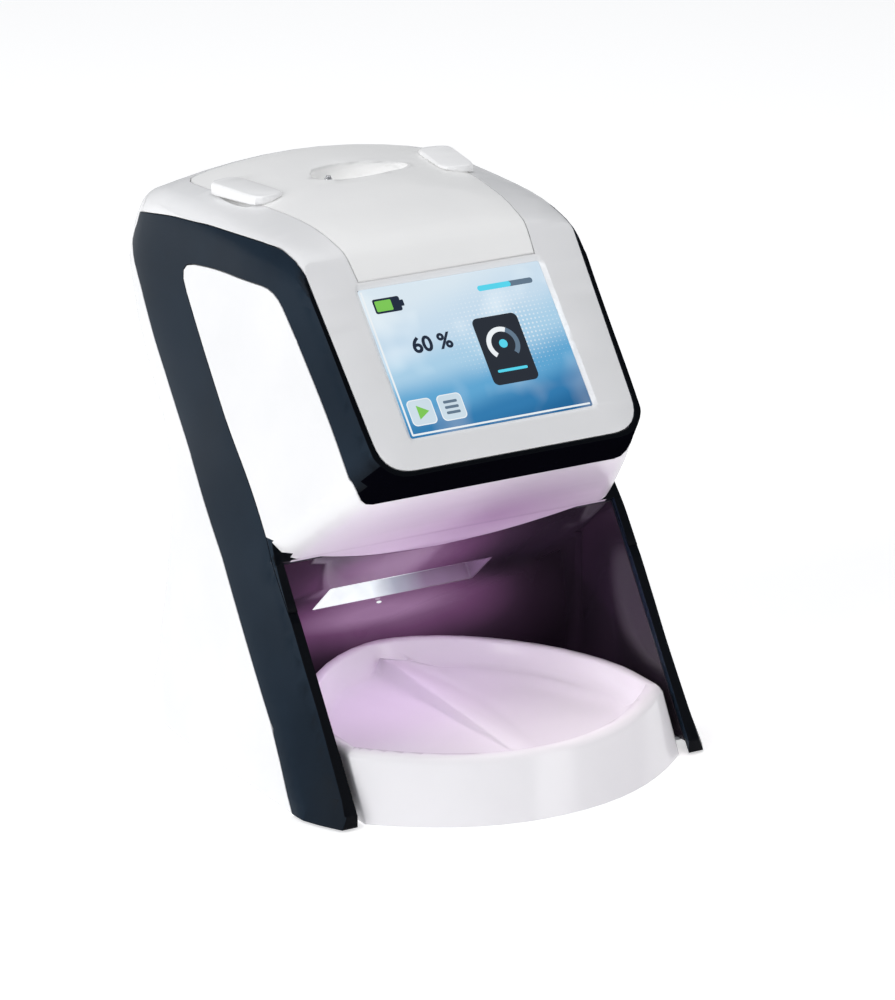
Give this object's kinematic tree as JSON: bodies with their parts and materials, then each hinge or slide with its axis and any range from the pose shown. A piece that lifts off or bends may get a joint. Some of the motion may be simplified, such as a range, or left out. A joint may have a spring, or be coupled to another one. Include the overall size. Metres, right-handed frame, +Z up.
{
  "type": "phosphor plate scanner",
  "caption": "Bench-top scanner for dental phosphor plates: hooded head with slanted touch screen, loading well on top, exit slot in a lit bay and a pull-out receiving tray.",
  "frame": {"origin": "on the floor under the middle of the overall box", "axes": "+Z up, -Y out of the front with the screen and the tray, +X to the right as seen from the front"},
  "size_m": [0.2332, 0.3092, 0.282],
  "materials": {
    "shell_white": "satin gloss",
    "frame_dark": "satin gloss",
    "liner_smoke": "gloss",
    "lid_light_grey": "satin",
    "catch_chrome": "polished",
    "screen_glass": "gloss, lit picture under a clear face",
    "module_black": "matte",
    "chute_white": "satin, lit from inside",
    "tray_white": "gloss",
    "base_steel": "satin",
    "foot_rubber": "matte",
    "screw_steel": "plated",
    "chassis_steel": "zinc plated",
    "rod_steel": "ground",
    "screw_bronze": "machined",
    "motor_black": "satin",
    "carriage_polymer": "matte",
    "optics_black": "matte",
    "tube_metal": "satin",
    "eraser_grey": "satin",
    "board_green": "solder mask",
    "supply_metal": "satin",
    "panel_grey": "satin",
    "socket_black": "matte",
    "socket_metal": "plated",
    "rocker_black": "satin"
  },
  "bodies": {
    "casing": {"side_frame": "frame_dark", "head_shell": "shell_white", "top_shell": "shell_white", "rear_housing": "shell_white", "bay_liner": "liner_smoke", "touch_glass": "screen_glass", "display_module": "module_black", "exit_chute": "chute_white", "base_plate": "base_steel", "foot_front_left": "foot_rubber", "foot_front_right": "foot_rubber", "foot_rear_left": "foot_rubber", "foot_rear_right": "foot_rubber", "base_screw_front_left": "screw_steel", "base_screw_front_right": "screw_steel", "base_screw_rear_left": "screw_steel", "base_screw_rear_right": "screw_steel", "chassis": "chassis_steel", "guide_rod_left": "rod_steel", "guide_rod_right": "rod_steel", "screw_motor": "motor_black", "laser_module": "optics_black", "photomultiplier": "tube_metal", "eraser_bar": "eraser_grey", "main_board": "board_green", "power_supply": "supply_metal", "connector_panel": "panel_grey", "power_inlet": "socket_black", "network_socket": "socket_metal", "usb_socket": "socket_metal", "switch_frame": "socket_black"},
    "tray": {"receiving_tray": "tray_white"},
    "cover": {"top_cover": "lid_light_grey"},
    "catch": {"catch_pin": "catch_chrome"},
    "carriage": {"plate_carriage": "carriage_polymer"},
    "screw": {"lead_screw": "screw_bronze"},
    "rocker": {"power_switch": "rocker_black"}
  },
  "joints": [
    {"name": "tray_slide", "type": "slide", "parent": "casing", "child": "tray", "axis": [0, -1, 0], "range_m": [0, 0.13]},
    {"name": "cover_lift", "type": "slide", "parent": "casing", "child": "cover", "axis": [0, 0, 1], "range_m": [0, 0.06]},
    {"name": "catch_press", "type": "slide", "parent": "cover", "child": "catch", "axis": [0, 0, -1], "range_m": [0, 0.003], "stiffness_N_per_m": 300},
    {"name": "carriage_slide", "type": "slide", "parent": "casing", "child": "carriage", "axis": [0, 0, -1], "range_m": [0, 0.095]},
    {"name": "screw_turn", "type": "hinge", "parent": "casing", "child": "screw", "pos_m": [0, 0.092, 0.177], "axis": [0, 0, 1], "range_deg": [-5, 4285]},
    {"name": "power_switch_rock", "type": "hinge", "parent": "casing", "child": "rocker", "pos_m": [-0.022, 0.1311, 0.0548], "axis": [0, 0, 1], "range_deg": [-16, 0]}
  ],
  "couplings": [
    {"joint": "screw_turn", "follows": "carriage_slide", "rad_per_m": 785.4}
  ]
}
